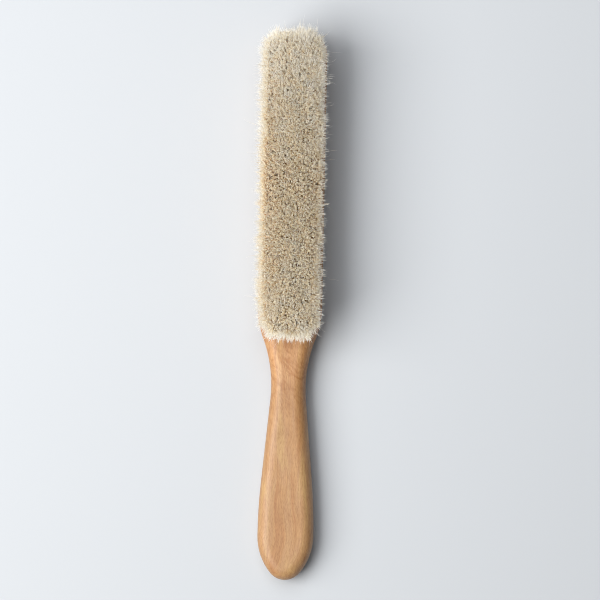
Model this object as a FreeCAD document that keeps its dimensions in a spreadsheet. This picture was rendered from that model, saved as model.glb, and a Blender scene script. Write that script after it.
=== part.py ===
import FreeCAD, Part
import math
import os

import Sketcher

# Clothes brush, millimetres: one beech body, and tufts of hair folded over flat-wire anchors in blind holes.
# +Y runs along the brush towards the head's tip, and +Z points the way the hair stands.
# The origin is on the flat back face, on the centreline, half way along the wood.

SIZES = [
    # (alias, value, what it is)
    ("overall_length", 300.0, "wood, handle end to head tip"),
    ("wood_thickness", 15.0, "back face to the face with the hair"),
    ("edge_round", 6.5, "roundover on both long edges"),
    ("handle_width", 30.6, "widest place of the paddle handle"),
    ("handle_widest_at", 24.0, "from the handle end"),
    ("handle_end_radius", 10.4, "tip of the handle"),
    ("handle_side_radius", 325.0, "long outward curve of the handle"),
    ("waist_width", 18.8, "narrowest place"),
    ("waist_at", 105.5, "from the handle end"),
    ("waist_radius", 73.0, "inward curve at the waist"),
    ("shoulder_radius", 46.0, "outward curve into the stock"),
    ("stock_width", 35.2, "the part that carries the hair"),
    ("stock_corner_radius", 13.0, "two corners at the head's tip"),
    ("tuft_pitch", 6.1, "hole to hole along a row"),
    ("row_spacing", 5.6, "row to row at the wood's face"),
    ("row_fan_angle", 4.5, "degrees of outward lean per row away from the centre"),
    ("centre_row_tufts", 27.0, "holes in the centre row"),
    ("side_row_tufts", 26.0, "holes in each other row"),
    ("last_hole_y", 143.4, "hole nearest the head's tip, centre and outer rows"),
    ("hole_diameter", 3.9, "blind hole for a tuft"),
    ("hole_depth", 8.5, "below the wood's face, without the drill point"),
    ("hole_point_angle", 118.0, "degrees, drill point"),
    ("drill_start", 0.5, "drill starts this far above the face"),
    ("tuft_stem_diameter", 3.7, "bundle inside the hole"),
    ("tuft_tip_diameter", 5.8, "bundle where it has spread"),
    ("tuft_height", 26.5, "above the wood's face"),
    ("tuft_dome_height", 2.2, "rounded tip of the bundle"),
    ("tuft_fold_gap", 0.2, "fold to the hole's floor"),
    ("anchor_length", 4.6, "flat wire, longer than the hole is wide"),
    ("anchor_foot_length", 4.2, "lower edge, cut back at both ends"),
    ("anchor_height", 2.0, "wire's width, standing on edge"),
    ("anchor_thickness", 0.4, "wire's thickness"),
    ("anchor_foot_depth", 7.1, "anchor's lower edge below the wood's face"),
    ("anchor_clearance", 0.05, "to the wood and to the hair, all round"),
]

# (name, rows away from the centreline): -X is left
ROWS = [
    ("left_outer", -2),
    ("left_inner", -1),
    ("centre", 0),
    ("right_inner", 1),
    ("right_outer", 2),
]

# sketch geometry indices: the horizontal axis (its start is the sketch origin) and the vertical axis
SKETCH_H_AXIS = -1
SKETCH_V_AXIS = -2
START, END, CENTRE = 1, 2, 3

doc = FreeCAD.newDocument("clothes_brush")


def make_sheet():
    """Every driving size of the brush, one named cell each."""
    sheet = doc.addObject("Spreadsheet::Sheet", "sizes")
    for row, (alias, value, note) in enumerate(SIZES, start=1):
        sheet.set("A%d" % row, alias)
        sheet.set("B%d" % row, repr(value))
        sheet.set("C%d" % row, note)
        sheet.setAlias("B%d" % row, alias)
    doc.recompute()


make_sheet()
size = {alias: value for alias, value, note in SIZES}


def new_body(label):
    """An empty PartDesign body that may hold several separate solids."""
    body = doc.addObject("PartDesign::Body", label)
    body.Label = label
    body.AllowCompound = True
    return body


def own_origin(body, role):
    """One of the body's own axes or planes, such as XY_Plane."""
    return [item for item in body.Origin.OriginFeatures if item.Role == role][0]


def new_sketch(body, name, support, mode="FlatFace"):
    """An empty sketch on a plane, or on one plane of a coordinate system."""
    sketch = body.newObject("Sketcher::SketchObject", name)
    sketch.AttachmentSupport = [(support, "")]
    sketch.MapMode = mode
    return sketch


def dimension(sketch, name, kind, places, value, formula):
    """Adds a dimension to a sketch and ties it to the spreadsheet."""
    index = sketch.addConstraint(Sketcher.Constraint(kind, *places, value))
    sketch.renameConstraint(index, name)
    sketch.setExpression("Constraints.%s" % name, formula)


def straight(start, end):
    """A straight edge in the sketch plane."""
    return Part.LineSegment(FreeCAD.Vector(start[0], start[1], 0), FreeCAD.Vector(end[0], end[1], 0))


def arc_about(centre, radius, start, end):
    """The arc about centre that runs anticlockwise from start to end."""
    first = math.atan2(start[1] - centre[1], start[0] - centre[0])
    last = math.atan2(end[1] - centre[1], end[0] - centre[0])
    circle = Part.Circle(FreeCAD.Vector(centre[0], centre[1], 0), FreeCAD.Vector(0, 0, 1), radius)
    return Part.ArcOfCircle(circle, first, last)


def towards(start, end, distance):
    """The point at a distance from start on the way to end."""
    span = math.hypot(end[0] - start[0], end[1] - start[1])
    return (
        start[0] + (end[0] - start[0]) * distance / span,
        start[1] + (end[1] - start[1]) * distance / span,
    )


def outline_points():
    """Centres and joints of the tangent arcs on the +X side, from the handle end to the head's tip."""
    foot = -size["overall_length"] / 2
    tip = size["overall_length"] / 2
    half_handle = size["handle_width"] / 2
    half_stock = size["stock_width"] / 2
    end_radius = size["handle_end_radius"]
    side_radius = size["handle_side_radius"]
    waist_radius = size["waist_radius"]
    shoulder_radius = size["shoulder_radius"]
    corner_radius = size["stock_corner_radius"]
    reach = size["handle_widest_at"]

    # the bulge is the arc that leaves the end arc smoothly and turns straight up at the widest place
    bulge_radius = ((reach - end_radius) ** 2 + half_handle ** 2 - end_radius ** 2) / (
        2 * (half_handle - end_radius)
    )
    end_centre = (0.0, foot + end_radius)
    bulge_centre = (half_handle - bulge_radius, foot + reach)
    side_centre = (half_handle - side_radius, foot + reach)
    waist_centre = (size["waist_width"] / 2 + waist_radius, foot + size["waist_at"])

    # the taper is the straight line that touches the side arc and the waist arc from opposite sides
    across = waist_centre[0] - side_centre[0]
    along = waist_centre[1] - side_centre[1]
    lean = math.atan2(along, across) - math.acos((side_radius + waist_radius) / math.hypot(across, along))
    normal = (math.cos(lean), math.sin(lean))
    taper_low = (side_centre[0] + side_radius * normal[0], side_centre[1] + side_radius * normal[1])
    taper_high = (waist_centre[0] - waist_radius * normal[0], waist_centre[1] - waist_radius * normal[1])

    # the shoulder arc touches the waist arc and the straight flank
    shoulder_x = half_stock - shoulder_radius
    rise = math.sqrt((waist_radius + shoulder_radius) ** 2 - (waist_centre[0] - shoulder_x) ** 2)
    shoulder_centre = (shoulder_x, waist_centre[1] + rise)
    return {
        "foot": (0.0, foot),
        "end_centre": end_centre,
        "bulge_centre": bulge_centre,
        "bulge_radius": bulge_radius,
        "bulge_low": towards(bulge_centre, end_centre, bulge_radius),
        "widest": (half_handle, foot + reach),
        "side_centre": side_centre,
        "taper_low": taper_low,
        "taper_high": taper_high,
        "waist_centre": waist_centre,
        "shoulder_low": towards(waist_centre, shoulder_centre, waist_radius),
        "shoulder_centre": shoulder_centre,
        "shoulder_high": (half_stock, shoulder_centre[1]),
        "corner_centre": (half_stock - corner_radius, tip - corner_radius),
        "corner_low": (half_stock, tip - corner_radius),
        "corner_high": (half_stock - corner_radius, tip),
        "tip": (0.0, tip),
    }


def draw_half_outline(body):
    """Half of the brush seen from above, on the +X side: tangent arcs and lines, closed on the centreline."""
    p = outline_points()
    sketch = new_sketch(body, "half_outline", own_origin(body, "XY_Plane"))
    end = sketch.addGeometry(arc_about(p["end_centre"], size["handle_end_radius"], p["foot"], p["bulge_low"]))
    bulge = sketch.addGeometry(arc_about(p["bulge_centre"], p["bulge_radius"], p["bulge_low"], p["widest"]))
    side = sketch.addGeometry(
        arc_about(p["side_centre"], size["handle_side_radius"], p["widest"], p["taper_low"])
    )
    taper = sketch.addGeometry(straight(p["taper_low"], p["taper_high"]))
    # the waist curves inwards, so anticlockwise runs from the shoulder back down to the taper
    waist = sketch.addGeometry(
        arc_about(p["waist_centre"], size["waist_radius"], p["shoulder_low"], p["taper_high"])
    )
    shoulder = sketch.addGeometry(
        arc_about(p["shoulder_centre"], size["shoulder_radius"], p["shoulder_low"], p["shoulder_high"])
    )
    flank = sketch.addGeometry(straight(p["shoulder_high"], p["corner_low"]))
    corner = sketch.addGeometry(
        arc_about(p["corner_centre"], size["stock_corner_radius"], p["corner_low"], p["corner_high"])
    )
    tip = sketch.addGeometry(straight(p["corner_high"], p["tip"]))
    middle = sketch.addGeometry(straight(p["tip"], p["foot"]))

    smooth_joints = [
        (end, END, bulge, START),
        (bulge, END, side, START),
        (side, END, taper, START),
        (taper, END, waist, END),
        (waist, START, shoulder, START),
        (shoulder, END, flank, START),
        (flank, END, corner, START),
        (corner, END, tip, START),
    ]
    for joint in smooth_joints:
        sketch.addConstraint(Sketcher.Constraint("Tangent", *joint))
    sketch.addConstraint(Sketcher.Constraint("Coincident", tip, END, middle, START))
    sketch.addConstraint(Sketcher.Constraint("Coincident", middle, END, end, START))
    for place in ((middle, START), (middle, END), (end, CENTRE)):
        sketch.addConstraint(Sketcher.Constraint("PointOnObject", *place, SKETCH_V_AXIS))
    sketch.addConstraint(Sketcher.Constraint("Vertical", flank))
    sketch.addConstraint(Sketcher.Constraint("Horizontal", tip))
    sketch.addConstraint(Sketcher.Constraint("Horizontal", bulge, CENTRE, bulge, END))

    half = "sizes.overall_length / 2"
    origin = (SKETCH_H_AXIS, START)
    dimension(sketch, "tip_level", "DistanceY", origin + (middle, START), p["tip"][1], half)
    dimension(sketch, "foot_level", "DistanceY", (middle, END) + origin, -p["foot"][1], half)
    dimension(
        sketch, "handle_half_width", "DistanceX", origin + (bulge, END), p["widest"][0], "sizes.handle_width / 2"
    )
    dimension(
        sketch, "widest_level", "DistanceY", (bulge, END) + origin, -p["widest"][1],
        half + " - sizes.handle_widest_at",
    )
    dimension(
        sketch, "waist_centre_x", "DistanceX", origin + (waist, CENTRE), p["waist_centre"][0],
        "sizes.waist_width / 2 + sizes.waist_radius",
    )
    dimension(
        sketch, "waist_level", "DistanceY", (waist, CENTRE) + origin, -p["waist_centre"][1],
        half + " - sizes.waist_at",
    )
    dimension(
        sketch, "stock_half_width", "DistanceX", origin + (flank, START), p["corner_low"][0],
        "sizes.stock_width / 2",
    )
    radii = [
        ("handle_end_radius", end),
        ("handle_side_radius", side),
        ("waist_radius", waist),
        ("shoulder_radius", shoulder),
        ("stock_corner_radius", corner),
    ]
    for alias, edge in radii:
        dimension(sketch, alias, "Radius", (edge,), size[alias], "sizes." + alias)
    return sketch


def add_blank(body):
    """The wood before drilling: half the outline padded, mirrored, and rounded on both long edges."""
    pad = body.newObject("PartDesign::Pad", "blank_half")
    pad.Profile = draw_half_outline(body)
    pad.setExpression("Length", "sizes.wood_thickness")
    doc.recompute()
    mirror = body.newObject("PartDesign::Mirrored", "blank")
    mirror.Originals = [pad]
    mirror.MirrorPlane = (own_origin(body, "YZ_Plane"), [""])
    body.Tip = mirror
    doc.recompute()
    flat_faces = []
    for index, face in enumerate(mirror.Shape.Faces, start=1):
        if face.BoundBox.ZLength < 1e-6:
            flat_faces.append("Face%d" % index)
    rounding = body.newObject("PartDesign::Fillet", "edge_rounding")
    rounding.Base = (mirror, flat_faces)
    rounding.Radius = size["edge_round"]
    rounding.setExpression("Radius", "sizes.edge_round")
    body.Tip = rounding
    doc.recompute()


def row_formulas(row):
    """Where a row's first hole is, its outward lean and its number of holes, as spreadsheet formulas."""
    count = "sizes.centre_row_tufts" if row == 0 else "sizes.side_row_tufts"
    # the inner rows are half a pitch out of step with the others
    last = "sizes.last_hole_y" if row % 2 == 0 else "(sizes.last_hole_y - sizes.tuft_pitch / 2)"
    return {
        "x": "%d * sizes.row_spacing" % row,
        "y": "%s - (%s - 1) * sizes.tuft_pitch" % (last, count),
        "lean": "%d * sizes.row_fan_angle" % abs(row),
        "count": count,
    }


def place_in_row_frame(item, prop, row):
    """Puts an object at a row's first hole, at the wood's face, with its Z axis along the leaning hole."""
    formulas = row_formulas(row)
    axis = FreeCAD.Vector(0, 1 if row >= 0 else -1, 0)
    lean = abs(row) * size["row_fan_angle"]
    setattr(item, prop, FreeCAD.Placement(FreeCAD.Vector(0, 0, 0), FreeCAD.Rotation(axis, lean)))
    item.setExpression(prop + ".Base.x", formulas["x"])
    item.setExpression(prop + ".Base.y", formulas["y"])
    item.setExpression(prop + ".Base.z", "sizes.wood_thickness")
    if row != 0:
        item.setExpression(prop + ".Rotation.Angle", formulas["lean"])


def draw_box(sketch, prefix, left, right, low, high):
    """A rectangle in a sketch. Each limit is (value, formula) and is measured from the sketch's origin."""
    x0, x1, y0, y1 = left[0], right[0], low[0], high[0]
    bottom = sketch.addGeometry(straight((x0, y0), (x1, y0)))
    east = sketch.addGeometry(straight((x1, y0), (x1, y1)))
    top = sketch.addGeometry(straight((x1, y1), (x0, y1)))
    west = sketch.addGeometry(straight((x0, y1), (x0, y0)))
    for first, second in ((bottom, east), (east, top), (top, west), (west, bottom)):
        sketch.addConstraint(Sketcher.Constraint("Coincident", first, END, second, START))
    for edge in (bottom, top):
        sketch.addConstraint(Sketcher.Constraint("Horizontal", edge))
    for edge in (east, west):
        sketch.addConstraint(Sketcher.Constraint("Vertical", edge))
    origin = (SKETCH_H_AXIS, START)
    dimension(sketch, prefix + "_west", "DistanceX", (bottom, START) + origin, -x0, left[1])
    dimension(sketch, prefix + "_east", "DistanceX", origin + (east, START), x1, right[1])
    dimension(sketch, prefix + "_bottom", "DistanceY", (bottom, START) + origin, -y0, low[1])
    dimension(sketch, prefix + "_top", "DistanceY", (top, START) + origin, -y1, high[1])


def repeat_along_row(body, name, originals, row):
    """Repeats features at the tuft pitch, from a row's first hole to its last."""
    pattern = body.newObject("PartDesign::LinearPattern", name)
    pattern.Originals = originals
    pattern.Direction = (own_origin(body, "Y_Axis"), [""])
    pattern.Mode = "Spacing"
    pattern.setExpression("Offset", "sizes.tuft_pitch")
    pattern.setExpression("Occurrences", row_formulas(row)["count"])
    body.Tip = pattern
    doc.recompute()


def drill_row(body, name, row):
    """One row of blind holes, each with the slot that its anchor has bitten into the walls."""
    frame = body.newObject("PartDesign::CoordinateSystem", "frame_" + name)
    frame.AttachmentSupport = [(own_origin(body, "XY_Plane"), "")]
    frame.MapMode = "FlatFace"
    place_in_row_frame(frame, "AttachmentOffset", row)
    doc.recompute()

    mouth = new_sketch(body, "mouth_" + name, frame, "ObjectXY")
    mouth.AttachmentOffset = FreeCAD.Placement(
        FreeCAD.Vector(0, 0, size["drill_start"]), FreeCAD.Rotation()
    )
    mouth.setExpression("AttachmentOffset.Base.z", "sizes.drill_start")
    circle = mouth.addGeometry(
        Part.Circle(FreeCAD.Vector(0, 0, 0), FreeCAD.Vector(0, 0, 1), size["hole_diameter"] / 2)
    )
    mouth.addConstraint(Sketcher.Constraint("Coincident", circle, CENTRE, SKETCH_H_AXIS, START))
    dimension(mouth, "mouth_diameter", "Diameter", (circle,), size["hole_diameter"], "sizes.hole_diameter")
    doc.recompute()

    hole = body.newObject("PartDesign::Hole", "hole_" + name)
    hole.Profile = mouth
    doc.recompute()
    hole.DepthType = "Dimension"
    hole.DrillPoint = "Angled"
    hole.setExpression("Diameter", "sizes.hole_diameter")
    hole.setExpression("Depth", "sizes.hole_depth + sizes.drill_start")
    hole.setExpression("DrillPointAngle", "sizes.hole_point_angle")
    body.Tip = hole
    doc.recompute()

    bite = new_sketch(body, "bite_" + name, frame, "ObjectXZ")
    slack = size["anchor_clearance"]
    half = size["anchor_length"] / 2 + slack
    low = size["anchor_foot_depth"] + slack
    high = size["anchor_foot_depth"] - size["anchor_height"] - slack
    half_formula = "sizes.anchor_length / 2 + sizes.anchor_clearance"
    draw_box(
        bite, "bite", (-half, half_formula), (half, half_formula),
        (-low, "sizes.anchor_foot_depth + sizes.anchor_clearance"),
        (-high, "sizes.anchor_foot_depth - sizes.anchor_height - sizes.anchor_clearance"),
    )
    slot = body.newObject("PartDesign::Pocket", "slot_" + name)
    slot.Profile = bite
    slot.SideType = "Symmetric"
    slot.setExpression("Length", "sizes.anchor_thickness + 2 * sizes.anchor_clearance")
    body.Tip = slot
    doc.recompute()
    repeat_along_row(body, "row_" + name, [hole, slot], row)


def make_beech_body():
    """The one-piece wooden body with all its holes."""
    body = new_body("beech_body")
    add_blank(body)
    for name, row in ROWS:
        drill_row(body, name, row)
    return body


def draw_tuft_profile(body):
    """Half section of a tuft: flat fold, straight stem, spreading sides and a rounded tip."""
    stem = size["tuft_stem_diameter"] / 2
    tip = size["tuft_tip_diameter"] / 2
    top = size["tuft_height"]
    rim = top - size["tuft_dome_height"]
    fold = size["tuft_fold_gap"] - size["hole_depth"]
    spread_radius = (rim ** 2 + (tip - stem) ** 2) / (2 * (tip - stem))
    dome_radius = (tip ** 2 + (top - rim) ** 2) / (2 * (top - rim))
    sketch = new_sketch(body, "tuft_profile", own_origin(body, "XZ_Plane"))
    floor = sketch.addGeometry(straight((0, fold), (stem, fold)))
    side = sketch.addGeometry(straight((stem, fold), (stem, 0)))
    # the spreading side curves outwards, so anticlockwise runs from the rim down to the stem
    spread = sketch.addGeometry(
        arc_about((stem + spread_radius, 0), spread_radius, (tip, rim), (stem, 0))
    )
    dome = sketch.addGeometry(arc_about((0, top - dome_radius), dome_radius, (tip, rim), (0, top)))
    middle = sketch.addGeometry(straight((0, top), (0, fold)))
    sketch.addConstraint(Sketcher.Constraint("Coincident", floor, END, side, START))
    sketch.addConstraint(Sketcher.Constraint("Tangent", side, END, spread, END))
    sketch.addConstraint(Sketcher.Constraint("Coincident", spread, START, dome, START))
    sketch.addConstraint(Sketcher.Constraint("Coincident", dome, END, middle, START))
    sketch.addConstraint(Sketcher.Constraint("Coincident", middle, END, floor, START))
    sketch.addConstraint(Sketcher.Constraint("Horizontal", floor))
    sketch.addConstraint(Sketcher.Constraint("Vertical", side))
    for place in ((middle, START), (middle, END), (dome, CENTRE)):
        sketch.addConstraint(Sketcher.Constraint("PointOnObject", *place, SKETCH_V_AXIS))
    origin = (SKETCH_H_AXIS, START)
    dimension(
        sketch, "stem_radius", "DistanceX", origin + (floor, END), stem, "sizes.tuft_stem_diameter / 2"
    )
    dimension(
        sketch, "fold_level", "DistanceY", (floor, START) + origin, -fold,
        "sizes.hole_depth - sizes.tuft_fold_gap",
    )
    dimension(sketch, "tip_radius", "DistanceX", origin + (dome, START), tip, "sizes.tuft_tip_diameter / 2")
    dimension(
        sketch, "rim_level", "DistanceY", origin + (dome, START), rim,
        "sizes.tuft_height - sizes.tuft_dome_height",
    )
    dimension(sketch, "top_level", "DistanceY", origin + (dome, END), top, "sizes.tuft_height")
    # the stem meets the spreading side at the wood's face
    sketch.addConstraint(Sketcher.Constraint("PointOnObject", side, END, SKETCH_H_AXIS))
    return sketch


def make_tufts(name, row):
    """One row of tufts, each folded round its anchor, so each has a window where the anchor passes."""
    body = new_body("tufts_" + name)
    place_in_row_frame(body, "Placement", row)
    bundle = body.newObject("PartDesign::Revolution", "bundle")
    profile = draw_tuft_profile(body)
    bundle.Profile = profile
    bundle.ReferenceAxis = (profile, ["V_Axis"])
    body.Tip = bundle
    doc.recompute()

    opening = new_sketch(body, "window_outline", own_origin(body, "YZ_Plane"))
    slack = size["anchor_clearance"]
    half = size["anchor_thickness"] / 2 + slack
    low = size["anchor_foot_depth"] + slack
    high = size["anchor_foot_depth"] - size["anchor_height"] - slack
    half_formula = "sizes.anchor_thickness / 2 + sizes.anchor_clearance"
    draw_box(
        opening, "window", (-half, half_formula), (half, half_formula),
        (-low, "sizes.anchor_foot_depth + sizes.anchor_clearance"),
        (-high, "sizes.anchor_foot_depth - sizes.anchor_height - sizes.anchor_clearance"),
    )
    window = body.newObject("PartDesign::Pocket", "window")
    window.Profile = opening
    window.SideType = "Symmetric"
    window.setExpression("Length", "sizes.tuft_stem_diameter + 1")
    body.Tip = window
    doc.recompute()
    repeat_along_row(body, "tuft_row", [bundle, window], row)
    return body


def draw_anchor(body):
    """An anchor seen along the brush: the ends are cut back so that the upper corners bite."""
    top_half = size["anchor_length"] / 2
    foot_half = size["anchor_foot_length"] / 2
    foot = -size["anchor_foot_depth"]
    top = foot + size["anchor_height"]
    sketch = new_sketch(body, "anchor_outline", own_origin(body, "XZ_Plane"))
    bottom = sketch.addGeometry(straight((-foot_half, foot), (foot_half, foot)))
    east = sketch.addGeometry(straight((foot_half, foot), (top_half, top)))
    upper = sketch.addGeometry(straight((top_half, top), (-top_half, top)))
    west = sketch.addGeometry(straight((-top_half, top), (-foot_half, foot)))
    for first, second in ((bottom, east), (east, upper), (upper, west), (west, bottom)):
        sketch.addConstraint(Sketcher.Constraint("Coincident", first, END, second, START))
    for edge in (bottom, upper):
        sketch.addConstraint(Sketcher.Constraint("Symmetric", edge, START, edge, END, SKETCH_V_AXIS))
    dimension(
        sketch, "foot_length", "DistanceX", (bottom, START, bottom, END), 2 * foot_half,
        "sizes.anchor_foot_length",
    )
    dimension(
        sketch, "top_length", "DistanceX", (upper, END, upper, START), 2 * top_half, "sizes.anchor_length"
    )
    dimension(
        sketch, "foot_level", "DistanceY", (bottom, START, SKETCH_H_AXIS, START), -foot,
        "sizes.anchor_foot_depth",
    )
    dimension(
        sketch, "wire_width", "DistanceY", (bottom, START, upper, END), top - foot, "sizes.anchor_height"
    )
    return sketch


def make_anchors(name, row):
    """One row of flat-wire anchors, set across the grain so that they cannot split the wood."""
    body = new_body("anchors_" + name)
    place_in_row_frame(body, "Placement", row)
    strip = body.newObject("PartDesign::Pad", "strip")
    strip.Profile = draw_anchor(body)
    strip.SideType = "Symmetric"
    strip.setExpression("Length", "sizes.anchor_thickness")
    body.Tip = strip
    doc.recompute()
    repeat_along_row(body, "anchor_row", [strip], row)
    return body


def check_document(bodies):
    """Stops the script if any object failed to compute or any body lacks the solids it should have."""
    for item in doc.Objects:
        if "Invalid" in item.State or "Error" in item.State:
            raise RuntimeError("%s did not compute: %s" % (item.Name, item.State))
    for body, solids in bodies:
        shape = body.Shape
        if shape.isNull() or not shape.isValid():
            raise RuntimeError("%s has no valid shape" % body.Label)
        if len(shape.Solids) != solids:
            raise RuntimeError("%s has %d solids" % (body.Label, len(shape.Solids)))


def check_drilling(body):
    """Stops the script if the holes took away too little wood, as a drill pointing outwards would."""
    blank = doc.getObject("edge_rounding").Shape.Volume
    radius = size["hole_diameter"] / 2
    one_hole = math.pi * radius ** 2 * size["hole_depth"]
    holes = size["centre_row_tufts"] + 4 * size["side_row_tufts"]
    if blank - body.Shape.Volume < holes * one_hole:
        raise RuntimeError("the holes are not all drilled")


def export(bodies):
    """Writes one STEP file for each body, named after its label."""
    os.makedirs("parts", exist_ok=True)
    for body, solids in bodies:
        body.Shape.exportStep("parts/%s.step" % body.Label)
        print("%s: %d solids, %.1f mm3" % (body.Label, solids, body.Shape.Volume))


wood = make_beech_body()
pieces = [(wood, 1)]
for name, row in ROWS:
    tufts_in_row = int(size["centre_row_tufts"] if row == 0 else size["side_row_tufts"])
    pieces.append((make_tufts(name, row), tufts_in_row))
    pieces.append((make_anchors(name, row), tufts_in_row))
doc.recompute()
check_document(pieces)
check_drilling(wood)
export(pieces)
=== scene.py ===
import math

import bpy
import numpy as np
from mathutils import Matrix, Vector


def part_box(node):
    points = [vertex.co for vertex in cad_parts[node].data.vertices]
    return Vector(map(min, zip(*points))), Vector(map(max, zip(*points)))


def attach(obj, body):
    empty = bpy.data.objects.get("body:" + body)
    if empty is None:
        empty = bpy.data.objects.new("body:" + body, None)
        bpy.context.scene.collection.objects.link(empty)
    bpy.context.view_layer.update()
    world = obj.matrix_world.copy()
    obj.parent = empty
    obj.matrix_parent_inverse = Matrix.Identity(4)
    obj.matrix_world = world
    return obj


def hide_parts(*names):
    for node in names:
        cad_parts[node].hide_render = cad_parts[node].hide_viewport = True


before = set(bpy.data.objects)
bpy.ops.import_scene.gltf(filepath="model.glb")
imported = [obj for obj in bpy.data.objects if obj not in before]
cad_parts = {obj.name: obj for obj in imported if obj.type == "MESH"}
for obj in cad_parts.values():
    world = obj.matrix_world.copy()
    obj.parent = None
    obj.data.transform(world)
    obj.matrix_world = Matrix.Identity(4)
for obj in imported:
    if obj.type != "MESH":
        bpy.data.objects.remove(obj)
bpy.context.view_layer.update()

MM = 0.001
FULL_TURN = 2 * math.pi
rng = np.random.default_rng(20240611)

# ---------------------------------------------------------------- sizes, millimetres
ROWS = ("left_outer", "left_inner", "centre", "right_inner", "right_outer")
FACE_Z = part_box("beech_body")[1].z / MM
HAIR_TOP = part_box("tufts_centre")[1].z / MM

# strands leave their hole within this radius, and start this far down it
STEM_RADIUS = 1.72
ROOT_DEPTH = 4.5
TIP_SPACING = 0.66
STRAND_RADIUS = (0.08, 0.115)
STRANDS_PER_LOCK = 5
QUICK_THICKENING = 1.0
STRAY_HAIRS = 70
PIECES_PER_ROW = 4

# the trimmed ends fill this outline: a core polygon grown by EDGE_RADIUS
EDGE_RADIUS = 5.0
CORE = np.array([
    (14.6, -8.0), (14.6, 138.0), (12.2, 143.4), (8.5, 146.0), (0.0, 145.6), (-9.0, 144.6), (-12.8, 141.6),
    (-14.4, 135.0), (-14.0, 0.0), (-12.2, -9.0), (-8.3, -14.4), (10.6, -14.4),
])
HAIR_MIDDLE = (CORE[:, 1].min() + CORE[:, 1].max()) / 2
HAIR_HALF = (CORE[:, 1].max() - CORE[:, 1].min()) / 2 + EDGE_RADIUS
# the hair's top is lower near the edge, and lower towards both long sides
EDGE_BAND = 6.0
EDGE_DROP = 3.0
DOME_HALF_WIDTH = 19.0
DOME_DROP = 4.0

# rings along a strand as parts of its free length, the first one inside the hole, and how thick each is
STEPS = np.array([-0.17, 0.0, 0.5, 0.78, 0.86, 0.92, 0.97, 1.0])
TAPER = np.array([1, 1, 1, 0.94, 0.84, 0.7, 0.45, 0.1])
TUBE_SIDES = 3


# ---------------------------------------------------------------- tuft positions from the CAD nodes
def node_points(node):
    """Vertices of a CAD node in millimetres."""
    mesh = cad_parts[node].data
    co = np.zeros(len(mesh.vertices) * 3)
    mesh.vertices.foreach_get("co", co)
    return co.reshape(-1, 3) / MM


def tufts_of(row):
    """Mouth centre on the wood's face and the axis of every tuft in a row."""
    flat_top, below_face, fold_height, gap_between = 0.05, 1.0, 0.7, 1.0
    co = node_points("tufts_" + row)
    top = co[co[:, 2] > co[:, 2].max() - flat_top].mean(0)
    stems = co[co[:, 2] < FACE_Z - below_face]
    low = stems[stems[:, 2] < stems[:, 2].min() + fold_height]
    fold_x = (low[:, 0].min() + low[:, 0].max()) / 2
    fold_z = (low[:, 2].min() + low[:, 2].max()) / 2
    axis = np.array([top[0] - fold_x, 0.0, top[2] - fold_z])
    axis /= np.linalg.norm(axis)
    ys = np.sort(stems[:, 1])
    groups = np.split(ys, np.where(np.diff(ys) > gap_between)[0] + 1)
    mouth_x = fold_x + axis[0] / axis[2] * (FACE_Z - fold_z)
    return [(np.array([mouth_x, (g[0] + g[-1]) / 2, FACE_Z]), axis) for g in groups]


# ---------------------------------------------------------------- outline of the hair's ends
def outline_distance(points):
    """Distance in millimetres to the outline of the hair's ends: negative inside."""
    x, y = points[:, 0], points[:, 1]
    best = np.full(len(points), np.inf)
    inside = np.ones(len(points), bool)
    for a, b in zip(CORE, np.roll(CORE, -1, axis=0)):
        edge = b - a
        px, py = x - a[0], y - a[1]
        t = np.clip((px * edge[0] + py * edge[1]) / (edge @ edge), 0, 1)
        best = np.minimum(best, np.hypot(px - t * edge[0], py - t * edge[1]))
        inside &= (edge[0] * py - edge[1] * px) >= 0
    return np.where(inside, -best, best) - EDGE_RADIUS


def outline_normal(points):
    """Unit vectors that point straight out of the outline."""
    step = 0.05
    slopes = [
        (outline_distance(points + shift) - outline_distance(points - shift)) / (2 * step)
        for shift in ([step, 0], [0, step])
    ]
    outward = np.stack(slopes, 1)
    return outward / np.maximum(np.linalg.norm(outward, axis=1), 1e-6)[:, None]


def smooth_noise(points, scale, seed):
    """Soft noise of about unit size, with waves about as long as the scale in millimetres."""
    waves, size = 7, 2.6
    r = np.random.default_rng(seed)
    total = np.zeros(len(points))
    for _ in range(waves):
        angle = r.uniform(0, FULL_TURN)
        k = FULL_TURN / (scale * r.uniform(0.7, 1.6))
        along = points[:, 0] * math.cos(angle) + points[:, 1] * math.sin(angle)
        total += np.sin(k * along + r.uniform(0, FULL_TURN))
    return total / size


def from_middle(points):
    """Place along the hair: 0 in its middle, 1 at the head's tip, -1 at the waist."""
    return (points[:, 1] - HAIR_MIDDLE) / HAIR_HALF


def lock_tips():
    """Where the locks of hair end, seen from above: a jittered grid inside the outline."""
    jitter = 0.42
    dx, dy = TIP_SPACING, TIP_SPACING * math.sqrt(3) / 2
    xs = np.arange(-22, 22, dx)
    ys = np.arange(-24, 153, dy)
    gx, gy = np.meshgrid(xs, ys)
    gx = gx + (np.arange(len(ys)) % 2)[:, None] * dx / 2
    points = np.stack([gx.ravel(), gy.ravel()], 1)
    points += rng.uniform(-jitter, jitter, points.shape) * TIP_SPACING
    # the trimmed edge is uneven, most of all on the right
    uneven, right_side = 0.35, 12
    ragged = uneven * smooth_noise(points, 7.0, 5) + uneven * smooth_noise(points, 2.2, 6)
    ragged += rng.normal(0, uneven, len(points))
    notches = 0.25 + 0.8 * np.clip(smooth_noise(points, 3.0, 7) - 0.1, 0, 1.5)
    ragged += np.where(points[:, 0] > right_side, notches, 0)
    # small openings, most of them in the middle of the brush's length and along the right edge
    place = from_middle(points)
    right_edge = points[:, 0] > 13.5
    limit = 0.9 + np.where(place > 0, 2.5, -0.9) * place - 0.5 * right_edge
    closed = smooth_noise(points, 1.3, 8) < limit
    return points[(outline_distance(points) + ragged < 0) & closed]


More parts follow.
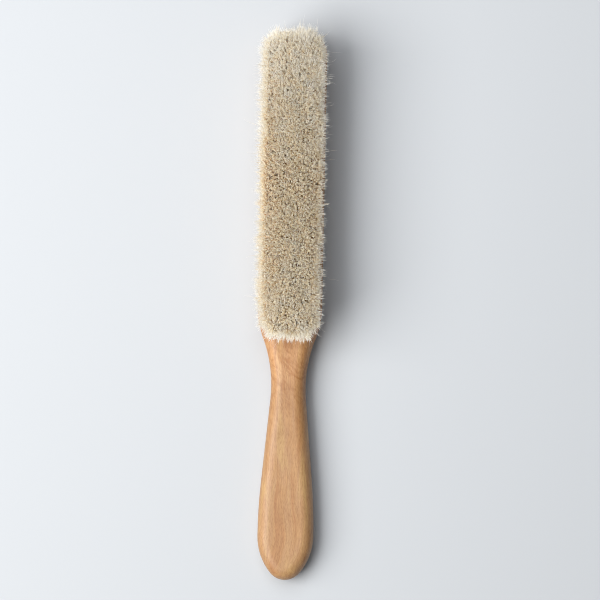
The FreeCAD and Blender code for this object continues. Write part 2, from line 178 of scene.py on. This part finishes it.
def stray_tips():
    """Ends of the few long hairs that stand out past the trimmed edge."""
    tries, longest, slack = 20000, 8.0, 0.4
    points = rng.uniform((-29, -29), (29, 160), (tries, 2))
    past = outline_distance(points)
    reach = 0.7 + rng.exponential(1.7, len(points))
    fits = (np.abs(past - reach) < slack) & (past < longest)
    return points[fits][:STRAY_HAIRS]


# ---------------------------------------------------------------- locks of hair
def top_height(tips, edge, single):
    """How high each lock ends: a low dome, rougher in the middle of the brush than at its ends."""
    n = len(tips)
    height = HAIR_TOP - EDGE_DROP * edge ** 2 - DOME_DROP * (tips[:, 0] / DOME_HALF_WIDTH) ** 2
    past_middle = np.abs(from_middle(tips))
    smoothing = np.where(tips[:, 1] > HAIR_MIDDLE, 1.3, 0.35)
    roughest, smoothest = 1.05, 0.25
    rough = np.maximum(smoothest, roughest - smoothing * past_middle)
    height += 0.2 + 0.35 * smooth_noise(tips, 16.0, 11) + 0.3 * rough * smooth_noise(tips, 2.0, 12)
    short, highest, long_hair_drop = 0.8, HAIR_TOP + 0.8, 6
    height -= np.abs(rng.normal(0, short, n)) * rough
    return np.minimum(height, highest) - single * rng.uniform(0, long_hair_drop, n)


def paleness(tips, edge, outward):
    """How white each lock is, before its own chance: more at the edges and towards the head's tip. This
    is partly painted light, as a less white lock shows more painted shade on its lower length.
    """
    past_middle = np.abs(from_middle(tips))
    towards_end = np.where(tips[:, 1] > HAIR_MIDDLE, 0.45, 0.2)
    pale = 0.3 + 0.65 * edge ** 1.5 + towards_end * past_middle
    # painted shade: the locks at the very end of the head are made less white, as that end is in shade
    return pale - 0.4 * edge * np.clip(outward[:, 1], 0, 1)


def build_locks():
    """Every lock of hair: its tuft, root, tip, and the way it bends."""
    tufts = [(row, mouth, axis) for row in ROWS for mouth, axis in tufts_of(row)]
    mouths = np.array([t[1] for t in tufts])
    axes = np.array([t[2] for t in tufts])
    reach = HAIR_TOP - FACE_Z
    centres = mouths + axes * reach / axes[:, 2:3]

    strays = stray_tips()
    tips = np.concatenate([lock_tips(), strays])
    n = len(tips)
    single = np.arange(n) >= n - len(strays)
    # locks near the border of two tufts come from either, so the fans cross and close over the wood
    border = 0.75
    gap = np.linalg.norm(tips[:, None, :] - centres[None, :, :2], axis=2)
    owner = np.argmin(gap + rng.normal(0, border, gap.shape), axis=1)
    offset = tips - centres[owner, :2]
    far = np.linalg.norm(offset, axis=1)

    edge = np.clip(1 + outline_distance(tips) / EDGE_BAND, 0, 1)
    outward = outline_normal(tips)
    height = top_height(tips, edge, single)
    pale = paleness(tips, edge, outward)
    # a lock that ends far from its tuft's middle starts near the rim of the hole
    tuft_spread = 3.7
    stem = STEM_RADIUS * np.minimum(1.0, (far / tuft_spread)) ** 0.8
    root = np.zeros((n, 3))
    root[:, :2] = mouths[owner, :2] + offset / np.maximum(far, 1e-6)[:, None] * stem[:, None]
    root[:, 2] = FACE_Z
    # locks at the very edge stand out past it by different amounts
    at_edge = edge > 0.86
    reach_out = rng.exponential(0.3, n) * at_edge
    tip = np.column_stack([tips + outward * reach_out[:, None], height])
    swirl = 1.6 * smooth_noise(tips, 2.6, 21) + rng.normal(0, 1.5, n)
    return {
        "owner": owner,
        "tufts": tufts,
        "root": root,
        "tip": tip,
        "axis": axes[owner],
        "edge": edge,
        "outward": outward,
        "swirl": swirl,
        "single": single,
        "curl": rng.uniform(0.6, 1.7, n) * (1 - 0.6 * edge) + single * rng.uniform(0.5, 2.5, n),
        "wave": rng.uniform(0.1, 0.38, n),
        "wave_phase": rng.uniform(0, FULL_TURN, n),
        "wave_turn": rng.uniform(0, FULL_TURN, n),
        "tone": np.clip(pale + 0.1 * smooth_noise(tips, 12.0, 31) + rng.normal(0, 0.24, n), 0, 1),
    }


# ---------------------------------------------------------------- strands of hair
def level(angle):
    """Unit vectors in the plane of the brush's face."""
    return np.column_stack([np.cos(angle), np.sin(angle), np.zeros(len(angle))])


def end_directions(root, tip, edge, outward):
    """The way each strand points at its end: upright inside, leaning out at the edges and the ends."""
    length = tip[:, 2] - root[:, 2]
    place = from_middle(tip)
    lean_out = 0.35 * edge + 0.85 * edge ** 2
    lean_along = 0.26 * place * np.abs(place)
    end_dir = np.column_stack([
        outward * lean_out[:, None] + 0.5 * (tip - root)[:, :2] / length[:, None],
        np.ones(len(tip)),
    ])
    end_dir[:, 1] += lean_along
    return end_dir / np.linalg.norm(end_dir, axis=1)[:, None]


def hermite(up, root, start, tip, end):
    """A smooth curve from root to tip with the given slopes at both ends."""
    h00 = 2 * up ** 3 - 3 * up ** 2 + 1
    h10 = up ** 3 - 2 * up ** 2 + up
    h01 = -2 * up ** 3 + 3 * up ** 2
    h11 = up ** 3 - up ** 2
    return root * h00[:, None] + start * h10[:, None] + tip * h01[:, None] + end * h11[:, None]


def strand_curves(locks):
    """The lock that each strand belongs to, and its centre line: (strands, steps, 3)."""
    n = len(locks["tip"])
    idx = np.repeat(np.arange(n), np.where(locks["single"], 1, STRANDS_PER_LOCK))
    m = len(idx)
    root = locks["root"][idx]
    tip = locks["tip"][idx]
    axis = locks["axis"][idx]
    edge = locks["edge"][idx]
    outward = locks["outward"][idx]
    length = tip[:, 2] - root[:, 2]
    towards_tip = np.clip(from_middle(tip), 0, 1)

    # each strand keeps its place in the lock, which narrows towards its end
    place_angle = rng.uniform(0, FULL_TURN, m)
    place = np.sqrt(rng.uniform(0, 1, m))
    place_x, place_y = place * np.cos(place_angle), place * np.sin(place_angle)
    cut = 1 - np.abs(rng.normal(0, 0.028, m)) - 0.02 * place

    # the end curls with its lock, apart from the loose few
    loose_share, loose_curl = 0.05, 1.7
    swirl = locks["swirl"][idx] + rng.normal(0, 0.35, m)
    curl = locks["curl"][idx] * rng.uniform(0.7, 1.25, m)
    loose = rng.uniform(0, 1, m) < loose_share
    curl = np.where(loose, curl * loose_curl, curl)
    swirl = np.where(loose, rng.uniform(0, FULL_TURN, m), swirl)
    bend = level(swirl)
    wave_dir = level(locks["wave_turn"][idx])
    wave = locks["wave"][idx] * rng.uniform(0.8, 1.2, m)
    phase = locks["wave_phase"][idx] + rng.normal(0, 0.3, m)
    own_angle = rng.uniform(0, FULL_TURN, m)
    own = level(own_angle) * rng.uniform(0, 0.16, m)[:, None]
    # at the edges and towards the head's tip the ends part from their lock, which looks fluffier
    loosened = 0.25 + 0.75 * edge + 0.7 * towards_tip
    stray = rng.normal(0, 0.36, (m, 2)) * loosened[:, None]
    stray += outward * (rng.exponential(0.32, m) * np.clip(edge * 4 - 3, 0, 1))[:, None]

    root_pull, end_pull, curl_start = 1.1, 1.15, 0.84
    start = axis * length[:, None] * root_pull
    end = end_directions(root, tip, edge, outward) * length[:, None] * end_pull
    points = np.zeros((m, len(STEPS), 3))
    for k, step in enumerate(STEPS):
        t = step * cut if step > 0 else np.full(m, step)
        up = np.clip(t, 0, 1)
        p = hermite(up, root, start, tip, end)
        below = np.minimum(t, 0)
        p += axis * (below * ROOT_DEPTH / -STEPS[0])[:, None]
        late = np.clip((up - curl_start) / (1 - curl_start), 0, 1)
        p += bend * (curl * late ** 1.7)[:, None]
        p[:, 2] -= 0.25 * curl * late ** 2.5
        body = np.sin(math.pi * up) * 0.5 + up * 0.5
        p += wave_dir * (wave * body * np.sin(phase + 7.5 * up))[:, None]
        p += own * (FULL_TURN * up * np.sin(3.1 * up + own_angle))[:, None]
        p[:, :2] += stray * (up ** 2.5)[:, None]
        spread = (0.13 + 0.19 * up - 0.14 * late ** 1.3) * (1 + 0.5 * towards_tip)
        p[:, 0] += place_x * spread
        p[:, 1] += place_y * spread
        points[:, k] = p
    return idx, points


def tube_vertices(points, radius, reference):
    """Rings of vertices around each centre line, and one vertex at its end: (strands, vertices, 3)."""
    rings = len(STEPS) - 1
    tangent = np.gradient(points, axis=1)
    tangent /= np.linalg.norm(tangent, axis=2, keepdims=True)
    side = np.cross(tangent, reference[:, None, :])
    side /= np.linalg.norm(side, axis=2, keepdims=True)
    other = np.cross(tangent, side)
    verts = np.zeros((len(points), rings * TUBE_SIDES + 1, 3))
    for c in range(TUBE_SIDES):
        a = FULL_TURN * c / TUBE_SIDES
        ring = points[:, :rings] + radius[:, :rings, None] * (
            math.cos(a) * side[:, :rings] + math.sin(a) * other[:, :rings])
        verts[:, c:rings * TUBE_SIDES:TUBE_SIDES] = ring
    verts[:, -1] = points[:, -1]
    return verts


def tube_faces():
    """Faces of one tube: quads between the rings, a point at the end and a cap at the root."""
    rings = len(STEPS) - 1
    quads, tris = [], []
    for c in range(TUBE_SIDES):
        d = (c + 1) % TUBE_SIDES
        tris.append(((rings - 1) * TUBE_SIDES + c, (rings - 1) * TUBE_SIDES + d, rings * TUBE_SIDES))
    tris.append(tuple(reversed(range(TUBE_SIDES))))
    for r in range(rings - 1):
        low, high = r * TUBE_SIDES, (r + 1) * TUBE_SIDES
        for c in range(TUBE_SIDES):
            d = (c + 1) % TUBE_SIDES
            quads.append((low + c, low + d, high + d, high + c))
    return quads, tris


def tube_mesh(name, points, radius, tone, reference):
    """One closed tube for each centre line, with strand tone and length in the UVs."""
    verts = tube_vertices(points, radius, reference)
    strands, per_strand, _ = verts.shape
    quads, tris = tube_faces()
    loops = np.array([i for face in quads + tris for i in face])
    sizes = np.array([4] * len(quads) + [3] * len(tris))
    all_loops = (loops[None, :] + np.arange(strands)[:, None] * per_strand).ravel().astype(np.int32)
    all_sizes = np.tile(sizes, strands).astype(np.int32)
    starts = np.concatenate([[0], np.cumsum(all_sizes)[:-1]]).astype(np.int32)
    mesh = bpy.data.meshes.new(name)
    mesh.vertices.add(strands * per_strand)
    mesh.vertices.foreach_set("co", (verts.reshape(-1, 3) * MM).astype(np.float32).ravel())
    mesh.loops.add(len(all_loops))
    mesh.loops.foreach_set("vertex_index", all_loops)
    mesh.polygons.add(len(all_sizes))
    mesh.polygons.foreach_set("loop_start", starts)
    mesh.polygons.foreach_set("loop_total", all_sizes)
    mesh.polygons.foreach_set("use_smooth", np.ones(len(all_sizes), bool))

    along = np.clip((STEPS - STEPS[0]) / (1 - STEPS[0]), 0.002, 0.998)
    uv = np.zeros((strands, len(loops), 2), np.float32)
    uv[:, :, 0] = np.clip(tone, 0.01, 0.99)[:, None]
    uv[:, :, 1] = along[loops // TUBE_SIDES][None, :]
    # a sliver of width keeps the faces from collapsing in the UV map
    sliver = 0.006
    corner = np.concatenate([np.tile([0, 1, 1, 0], len(quads)), np.tile([0, 1, 0], len(tris))])
    uv[:, :, 0] += corner[None, :] * sliver - sliver / 2
    layer = mesh.uv_layers.new(name="OFBake")
    layer.data.foreach_set("uv", uv.ravel())
    mesh.update()
    mesh.validate()
    piece = bpy.data.objects.new(name, mesh)
    bpy.context.scene.collection.objects.link(piece)
    return piece


def make_hair(material):
    """The tufts as real strands, one piece for each stretch of a row."""
    locks = build_locks()
    idx, points = strand_curves(locks)
    m = len(idx)
    # hair is finer at the edges, and the long single hairs are finer still
    thick = rng.uniform(*STRAND_RADIUS, m) * QUICK_THICKENING
    thick *= (1 - 0.25 * locks["edge"][idx]) * np.where(locks["single"][idx], 0.75, 1.0)
    radius = thick[:, None] * TAPER[None, :]
    tone = np.clip(locks["tone"][idx] + rng.normal(0, 0.1, m), 0, 1)
    turn = locks["swirl"][idx]
    across_bend = np.column_stack([-np.sin(turn), np.cos(turn), np.zeros(m)])
    owner = locks["owner"][idx]
    pieces = []
    first = 0
    for row in ROWS:
        count = sum(1 for tuft in locks["tufts"] if tuft[0] == row)
        for part in range(PIECES_PER_ROW):
            low = first + count * part // PIECES_PER_ROW
            high = first + count * (part + 1) // PIECES_PER_ROW
            pick = (owner >= low) & (owner < high)
            name = "hair_%s_%d" % (row, part + 1)
            piece = tube_mesh(name, points[pick], radius[pick], tone[pick], across_bend[pick])
            piece.data.materials.append(material)
            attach(piece, "root")
            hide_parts("tufts_" + row)
            pieces.append(piece)
        first += count
    largest = max(len(piece.data.polygons) for piece in pieces)
    print("hair: %d locks, %d strands, largest piece %d faces" % (len(locks["tip"]), m, largest))


# ---------------------------------------------------------------- material helpers
def new_material(name):
    """A material with a principled shader on its output."""
    material = bpy.data.materials.new(name)
    material.use_nodes = True
    tree = material.node_tree
    tree.nodes.clear()
    output = tree.nodes.new("ShaderNodeOutputMaterial")
    shader = tree.nodes.new("ShaderNodeBsdfPrincipled")
    tree.links.new(shader.outputs[0], output.inputs[0])
    return material, tree, shader


def node(tree, kind, **values):
    """A new node, with values for its inputs or its settings by name."""
    item = tree.nodes.new(kind)
    for key, value in values.items():
        if key in item.inputs:
            item.inputs[key].default_value = value
        else:
            setattr(item, key, value)
    return item


def ramp(tree, source, stops):
    """Colours along a value, from (position, colour) stops."""
    item = tree.nodes.new("ShaderNodeValToRGB")
    elements = item.color_ramp.elements
    while len(elements) > 1:
        elements.remove(elements[-1])
    elements[0].position, elements[0].color = stops[0][0], (*stops[0][1], 1)
    for position, colour in stops[1:]:
        elements.new(position).color = (*colour, 1)
    tree.links.new(source, item.inputs[0])
    return item.outputs[0]


def mix(tree, kind, factor, a, b):
    """Two colours mixed; each value is a socket, a number or a plain colour."""
    item = tree.nodes.new("ShaderNodeMix")
    item.data_type = "RGBA"
    item.blend_type = kind
    factor_input, a_input, b_input, colour_output = 0, 6, 7, 2
    for key, value in ((factor_input, factor), (a_input, a), (b_input, b)):
        if isinstance(value, bpy.types.NodeSocket):
            tree.links.new(value, item.inputs[key])
        elif key == factor_input:
            item.inputs[key].default_value = value
        else:
            item.inputs[key].default_value = (*value, 1)
    return item.outputs[colour_output]


def mix_shaders(tree, factor, a, b):
    """Two shaders mixed; the factor is a socket or a number."""
    item = node(tree, "ShaderNodeMixShader")
    if isinstance(factor, bpy.types.NodeSocket):
        tree.links.new(factor, item.inputs[0])
    else:
        item.inputs[0].default_value = factor
    tree.links.new(a, item.inputs[1])
    tree.links.new(b, item.inputs[2])
    return item.outputs[0]


def linear(v):
    """One linear colour value from a 0-255 screen value."""
    v /= 255
    return v / 12.92 if v <= 0.04045 else ((v + 0.055) / 1.055) ** 2.4


def srgb(r, g, b):
    """Linear colour from 0-255 screen values."""
    return (linear(r), linear(g), linear(b))


def grey(value):
    """A colour with three equal values."""
    return (value, value, value)


# ---------------------------------------------------------------- hair material
def hair_material():
    """Pale goat hair, coloured by each strand's tone and along its length, that lets light through."""
    see_through, shadow_gap, shadow_tint = 0.5, 0.6, (1.0, 0.965, 0.87, 1)
    material, tree, shader = new_material("goat_hair")
    coords = node(tree, "ShaderNodeUVMap", uv_map="OFBake")
    split = tree.nodes.new("ShaderNodeSeparateXYZ")
    tree.links.new(coords.outputs[0], split.inputs[0])
    tone, along = split.outputs[0], split.outputs[1]
    # inner hair is tan to brown below its pale tip, outer hair nearly white for most of its length; the
    # darker lower lengths are partly the hair's own tone and partly painted shade in the gaps between
    # locks
    inner = ramp(tree, along, [
        (0.0, srgb(138, 88, 40)), (0.45, srgb(182, 124, 60)), (0.72, srgb(216, 156, 78)),
        (0.86, srgb(243, 198, 116)), (0.94, srgb(255, 247, 222)), (1.0, srgb(255, 254, 249)),
    ])
    outer = ramp(tree, along, [
        (0.0, srgb(188, 146, 92)), (0.35, srgb(237, 215, 172)), (0.6, srgb(251, 243, 222)),
        (0.8, srgb(254, 252, 245)), (1.0, srgb(255, 255, 255)),
    ])
    colour = mix(tree, "MIX", tone, inner, outer)
    tree.links.new(colour, shader.inputs["Base Color"])
    through = tree.nodes.new("ShaderNodeBsdfTranslucent")
    tree.links.new(colour, through.inputs["Color"])
    hair = mix_shaders(tree, see_through, shader.outputs[0], through.outputs[0])
    # fine hair lets part of the light past, so a strand only half shades what is under it
    clear = node(tree, "ShaderNodeBsdfTransparent", Color=shadow_tint)
    shade = mix_shaders(tree, shadow_gap, hair, clear.outputs[0])
    path = node(tree, "ShaderNodeLightPath")
    seen = mix_shaders(tree, path.outputs["Is Shadow Ray"], hair, shade)
    tree.links.new(seen, tree.nodes["Material Output"].inputs[0])
    shader.inputs["Roughness"].default_value = 0.55
    shader.inputs["Specular IOR Level"].default_value = 0.35
    shader.inputs["Sheen Weight"].default_value = 0.25
    shader.inputs["Sheen Roughness"].default_value = 0.4
    return material


# ---------------------------------------------------------------- wood and wire materials
def stretched(tree, coords, along, offset=(0, 0, 0)):
    """Coordinates in millimetres, squeezed along the brush so that patterns come out long."""
    item = node(tree, "ShaderNodeMapping")
    item.inputs["Scale"].default_value = (1000, 1000 / along, 1000)
    item.inputs["Location"].default_value = offset
    tree.links.new(coords, item.inputs[0])
    return item.outputs[0]


def noise(tree, vector, scale, detail=2.0, rough=0.5, distortion=0.0):
    """The value of a noise texture at a place."""
    item = node(tree, "ShaderNodeTexNoise", Scale=scale, Detail=detail, Roughness=rough)
    item.inputs["Distortion"].default_value = distortion
    tree.links.new(vector, item.inputs["Vector"])
    return item.outputs["Fac"]


def wandering(tree, coords):
    """Coordinates shifted by a slow noise, mostly sideways, as the grain wanders."""
    sideways, up_down = 0.02, 0.008
    slow = node(tree, "ShaderNodeTexNoise", Scale=22.0, Detail=1.0)
    tree.links.new(coords, slow.inputs["Vector"])
    centred = node(tree, "ShaderNodeVectorMath", operation="SUBTRACT")
    tree.links.new(slow.outputs["Color"], centred.inputs[0])
    centred.inputs[1].default_value = (0.5, 0.5, 0.5)
    shift = node(tree, "ShaderNodeVectorMath", operation="MULTIPLY")
    tree.links.new(centred.outputs[0], shift.inputs[0])
    shift.inputs[1].default_value = (sideways, 0.0, up_down)
    moved = node(tree, "ShaderNodeVectorMath", operation="ADD")
    tree.links.new(coords, moved.inputs[0])
    tree.links.new(shift.outputs[0], moved.inputs[1])
    return moved.outputs[0]


def stretch_mask(tree, value, rise, fall):
    """A mask that rises smoothly from 0 to 1 over one stretch and falls back to 0 over another."""
    edges = []
    for low, high in (rise, fall):
        edge = node(tree, "ShaderNodeMapRange", interpolation_type="SMOOTHSTEP")
        tree.links.new(value, edge.inputs["Value"])
        edge.inputs["From Min"].default_value = low
        edge.inputs["From Max"].default_value = high
        edges.append(edge.outputs[0])
    both = node(tree, "ShaderNodeMath", operation="SUBTRACT")
    tree.links.new(edges[0], both.inputs[0])
    tree.links.new(edges[1], both.inputs[1])
    return both.outputs[0]


def waist_figure_and_painted_light(tree, coords, colour):
    """The grain turns at the waist, which shows as slanting amber figure; where the waist meets the head
    the wood is made lighter, which is painted light.
    """
    slant, painted_light_colour = math.radians(-50), (1.27, 1.26, 1.26)
    turned = node(tree, "ShaderNodeMapping", Rotation=(0, 0, slant))
    tree.links.new(coords, turned.inputs[0])
    slanting = stretched(tree, turned.outputs[0], 3.0, (11, 5, 2))
    figure = noise(tree, slanting, scale=0.34, detail=2.5, distortion=0.8)
    amber = ramp(tree, figure, [
        (0.34, (0.80, 0.66, 0.51)), (0.5, (0.94, 0.89, 0.83)), (0.64, (1.03, 1.01, 0.98)),
    ])
    place = tree.nodes.new("ShaderNodeSeparateXYZ")
    tree.links.new(coords, place.inputs[0])
    along = place.outputs[1]
    at_waist = stretch_mask(tree, along, (-0.085, -0.035), (-0.005, 0.035))
    colour = mix(tree, "MULTIPLY", at_waist, colour, amber)
    # painted light: the wood where the waist meets the head is made lighter
    painted_light_band = stretch_mask(tree, along, (-0.052, -0.022), (-0.012, 0.012))
    return mix(tree, "MULTIPLY", painted_light_band, colour, painted_light_colour)


def wood_material():
    """Waxed beech, with its grain along the brush."""
    material, tree, shader = new_material("waxed_beech")
    coords = wandering(tree, node(tree, "ShaderNodeTexCoord").outputs["Object"])
    # broad growth bands
    bands = noise(tree, stretched(tree, coords, 9.0), scale=0.14, detail=3.0, rough=0.55, distortion=0.6)
    base = ramp(tree, bands, [
        (0.34, srgb(160, 115, 73)), (0.46, srgb(171, 130, 86)), (0.54, srgb(167, 127, 88)),
        (0.66, srgb(176, 140, 94)),
    ])
    # streaks of a few millimetres
    streaks = noise(tree, stretched(tree, coords, 9.0, (31, 7, 3)), scale=0.8, detail=4.0, rough=0.6)
    light = ramp(tree, streaks, [
        (0.34, (0.90, 0.86, 0.81)), (0.5, (0.99, 0.98, 0.96)), (0.66, (1.08, 1.08, 1.07)),
    ])
    colour = mix(tree, "MULTIPLY", 1.0, base, light)
    colour = waist_figure_and_painted_light(tree, coords, colour)
    # the fine short dashes of the rays
    rays = noise(tree, stretched(tree, coords, 5.0, (3, 41, 9)), scale=2.4, detail=1.5)
    dashes = ramp(tree, rays, [
        (0.34, (1.07, 1.07, 1.05)), (0.52, grey(1.0)), (0.68, (0.86, 0.80, 0.73)),
    ])
    colour = mix(tree, "MULTIPLY", 1.0, colour, dashes)
    tree.links.new(colour, shader.inputs["Base Color"])
    rough = ramp(tree, streaks, [(0.3, grey(0.56)), (0.7, grey(0.46))])
    tree.links.new(rough, shader.inputs["Roughness"])
    shader.inputs["Coat Weight"].default_value = 0.3
    shader.inputs["Coat Roughness"].default_value = 0.5
    bump = node(tree, "ShaderNodeBump", Strength=0.35, Distance=0.00005)
    tree.links.new(rays, bump.inputs["Height"])
    tree.links.new(bump.outputs[0], shader.inputs["Normal"])
    return material


def wire_material():
    """Drawn steel wire with faint lines."""
    material, tree, shader = new_material("anchor_wire")
    coords = node(tree, "ShaderNodeTexCoord").outputs["Object"]
    lines = noise(tree, stretched(tree, coords, 1.0), scale=4.0, detail=3.0, rough=0.6)
    colour = ramp(tree, lines, [(0.3, srgb(176, 176, 172)), (0.7, srgb(206, 205, 200))])
    tree.links.new(colour, shader.inputs["Base Color"])
    shader.inputs["Metallic"].default_value = 1.0
    rough = ramp(tree, lines, [(0.3, grey(0.28)), (0.7, grey(0.45))])
    tree.links.new(rough, shader.inputs["Roughness"])
    return material


def floor_material():
    """Plain, pale and matt."""
    material, _, shader = new_material("studio_floor")
    shader.inputs["Base Color"].default_value = (*srgb(190, 194, 198), 1)
    shader.inputs["Roughness"].default_value = 0.9
    return material


def paint(obj, material):
    """Gives an object one material in place of any that it has."""
    obj.data.materials.clear()
    obj.data.materials.append(material)


# ---------------------------------------------------------------- stage
def make_floor():
    """A round floor, just below the brush."""
    radius, corners, clearance = 1.15, 96, 0.0002
    angles = [FULL_TURN * k / corners for k in range(corners)]
    rim = [(radius * math.cos(angle), radius * math.sin(angle), 0) for angle in angles]
    mesh = bpy.data.meshes.new("floor")
    mesh.from_pydata(rim, [], [tuple(range(corners))])
    floor = bpy.data.objects.new("floor", mesh)
    bpy.context.scene.collection.objects.link(floor)
    floor.location.z = -clearance
    paint(floor, floor_material())


def make_light(name, position, target, size, power, colour):
    """A square area light that faces its target."""
    data = bpy.data.lights.new(name, "AREA")
    data.shape = "SQUARE"
    data.size = size
    data.energy = power
    data.color = colour
    light = bpy.data.objects.new(name, data)
    bpy.context.scene.collection.objects.link(light)
    direction = Vector(target) - Vector(position)
    light.location = position
    light.rotation_euler = direction.to_track_quat("-Z", "Y").to_euler()


def make_lights():
    """A large key light from the left, a little towards the handle, and a weak one from above."""
    azimuth, elevation, distance = math.radians(192), math.radians(49), 1.6
    level_distance = distance * math.cos(elevation)
    key_position = (
        level_distance * math.cos(azimuth),
        level_distance * math.sin(azimuth),
        distance * math.sin(elevation),
    )
    make_light("key", key_position, (0, 0, 0), 1.4, 40, (1.0, 0.985, 0.965))
    make_light("top", (-0.15, 0.38, 0.92), (0, 0.08, 0.03), 0.8, 5.4, (0.98, 0.98, 1.0))


def make_world():
    """Weak even light from all around, in front of a pale backdrop."""
    light_colour, light_strength = (0.93, 0.96, 1.0, 1), 0.12
    backdrop_colour = (0.80, 0.82, 0.85, 1)
    world = bpy.data.worlds.new("studio")
    world.use_nodes = True
    tree = world.node_tree
    background = tree.nodes["Background"]
    background.inputs["Color"].default_value = light_colour
    background.inputs["Strength"].default_value = light_strength
    # the camera sees the backdrop, which doesn't light the brush
    backdrop = node(tree, "ShaderNodeBackground", Color=backdrop_colour)
    path = node(tree, "ShaderNodeLightPath")
    seen = mix_shaders(tree, path.outputs["Is Camera Ray"], background.outputs[0], backdrop.outputs[0])
    tree.links.new(seen, tree.nodes["World Output"].inputs[0])
    bpy.context.scene.world = world


def make_camera():
    """Nearly straight above the brush, a little to its right, and turned by about a degree."""
    distance = 1.5
    view_width = 0.3282
    target = Vector((0.0054, 0.0032, 0.008))
    tilt = math.radians(2.0)
    roll = math.radians(1.17)
    data = bpy.data.cameras.new("camera")
    data.sensor_width = 36
    data.lens = data.sensor_width * distance / view_width
    data.clip_start = 0.05
    data.clip_end = 50
    camera = bpy.data.objects.new("camera", data)
    bpy.context.scene.collection.objects.link(camera)
    back = Vector((math.sin(tilt), 0, math.cos(tilt)))
    camera.location = target + back * distance
    up = Vector((-math.sin(roll), math.cos(roll), 0))
    right = up.cross(back).normalized()
    up = back.cross(right).normalized()
    camera.matrix_world = Matrix((
        (right.x, up.x, back.x, camera.location.x),
        (right.y, up.y, back.y, camera.location.y),
        (right.z, up.z, back.z, camera.location.z),
        (0, 0, 0, 1),
    ))
    bpy.context.scene.camera = camera


def set_look():
    """Plain colours, enough bounces for light inside the hair, and no blurring of single strands."""
    scene = bpy.context.scene
    scene.view_settings.view_transform = "Standard"
    scene.cycles.diffuse_bounces = 8
    scene.cycles.filter_width = 1.0
    scene.cycles.denoising_prefilter = "NONE"


# ---------------------------------------------------------------- the scene
make_floor()
make_world()
make_camera()
make_lights()

paint(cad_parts["beech_body"], wood_material())
wire = wire_material()
for row in ROWS:
    paint(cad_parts["anchors_" + row], wire)
make_hair(hair_material())
set_look()
